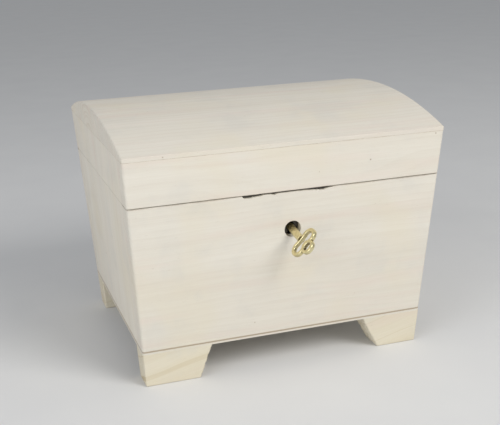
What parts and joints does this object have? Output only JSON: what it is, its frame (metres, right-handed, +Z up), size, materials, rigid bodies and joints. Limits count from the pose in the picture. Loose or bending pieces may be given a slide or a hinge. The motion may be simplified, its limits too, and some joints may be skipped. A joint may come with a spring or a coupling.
{
  "type": "wooden money box",
  "caption": "Small tapered wooden chest on block feet with a hinged domed lid, a coin slot at the back, a mortise lock behind a round keyhole and its brass key.",
  "frame": {"origin": "middle of the whole outline on the resting plane, from the end of the key's bow in front to the hinge knuckles behind; the box's own middle is 8.1 mm further back", "axes": "+X to the box's right seen from the front, +Y from the front with the keyhole to the back with the hinges, +Z up"},
  "size_m": [0.154, 0.1596, 0.123],
  "materials": {
    "wood_board": "bare sanded pale linden, faint horizontal grain",
    "wood_side": "bare sanded pale linden",
    "wood_dome": "bare sanded pale linden, end grain at the gables",
    "wood_foot": "bare pine-like offcut with brown grain streaks",
    "wood_ply": "three-ply panel, brown middle ply at the edge",
    "hinge_brass": "thin brass-plated sheet",
    "screw_brass": "brass-plated screw",
    "key_brass": "polished yellow brass, cast",
    "steel": "dull stamped steel"
  },
  "bodies": {
    "body": {"front_board": "wood_board", "back_board": "wood_board", "left_side_board": "wood_side", "right_side_board": "wood_side", "base_panel": "wood_ply", "foot_front_left": "wood_foot", "foot_front_right": "wood_foot", "foot_back_left": "wood_foot", "foot_back_right": "wood_foot", "hinge_body_leaf_left": "hinge_brass", "hinge_body_leaf_right": "hinge_brass", "hinge_pin_left": "steel", "hinge_pin_right": "steel", "hinge_screws_body": "screw_brass", "lock_plate": "steel", "lock_case": "steel", "key_post": "steel", "bolt_guide_studs": "steel", "lock_screws": "steel"},
    "lid": {"lid_front_strip": "wood_board", "lid_back_strip": "wood_board", "lid_left_strip": "wood_side", "lid_right_strip": "wood_side", "dome_block": "wood_dome", "hinge_lid_leaf_left": "hinge_brass", "hinge_lid_leaf_right": "hinge_brass", "hinge_screws_lid": "screw_brass", "strike_plate": "steel", "strike_screws": "steel"},
    "bolt": {"lock_bolt": "steel"},
    "key": {"key": "key_brass"}
  },
  "joints": [
    {"name": "lid_hinge", "type": "hinge", "parent": "body", "child": "lid", "pos_m": [0, 0.07805, 0.0892], "axis": [-1, 0, 0], "range_deg": [0, 100]},
    {"name": "key_turn", "type": "hinge", "parent": "body", "child": "key", "pos_m": [0.0016, -0.051, 0.07115], "axis": [0, -0.9883, -0.1526], "range_deg": [0, 78.8]},
    {"name": "bolt_throw", "type": "slide", "parent": "body", "child": "bolt", "axis": [-1, 0, 0], "range_m": [0, 0.00432]}
  ],
  "couplings": [
    {"joint": "key_turn", "follows": "bolt_throw", "rad_per_m": 318.64}
  ]
}
